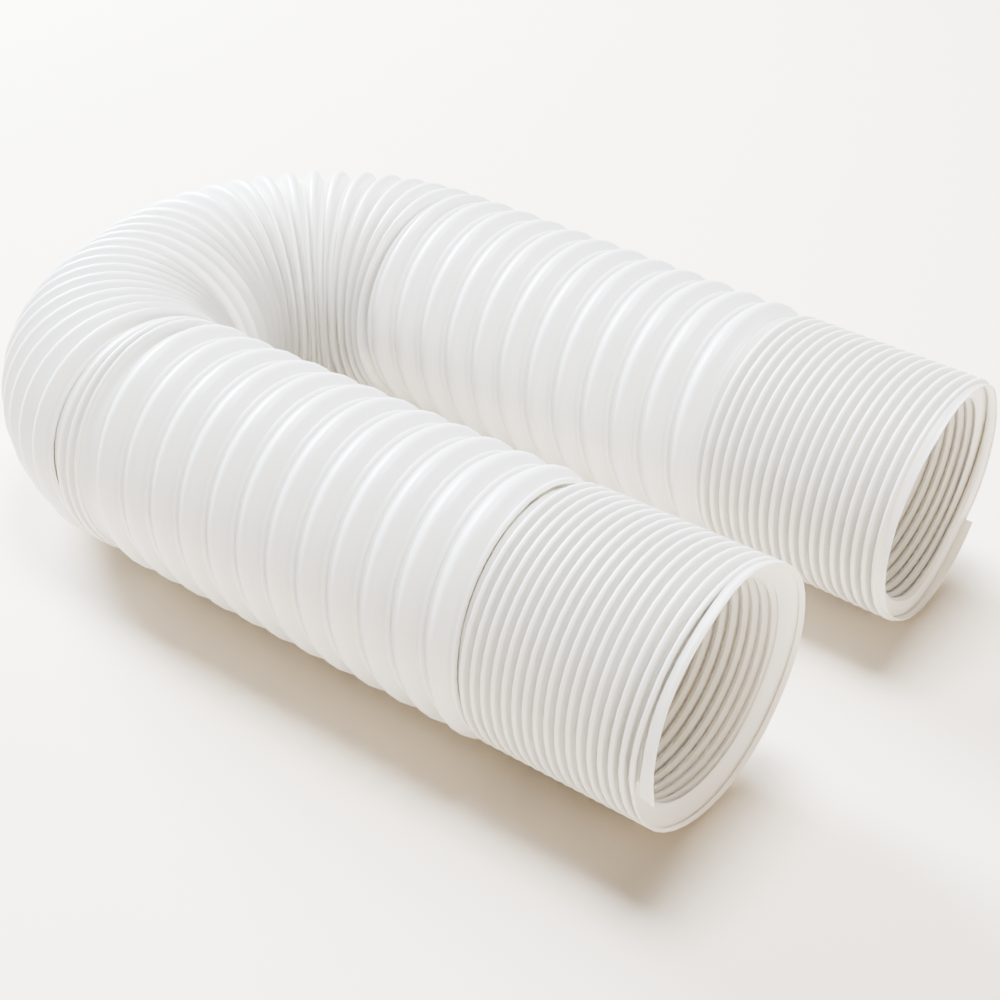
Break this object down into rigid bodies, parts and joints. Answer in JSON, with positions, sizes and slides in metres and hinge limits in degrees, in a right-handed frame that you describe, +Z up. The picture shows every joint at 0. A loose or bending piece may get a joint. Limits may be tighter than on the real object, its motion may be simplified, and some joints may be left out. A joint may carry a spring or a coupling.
{
  "type": "air conditioner exhaust hose",
  "caption": "Spirally wound folding plastic duct hose, lying in a U with its turns closed at both open mouths and drawn out along the legs.",
  "frame": {"origin": "middle of the footprint of the U, on the floor that the hose lies on", "axes": "+X along the front leg, out of its mouth; the back leg is on the +Y side; +Z up"},
  "size_m": [0.597, 0.3998, 0.155],
  "materials": {
    "strip": "white polypropylene, extruded, with a soft sheen"
  },
  "bodies": {
    "root": {"hose": "strip"}
  },
  "joints": []
}
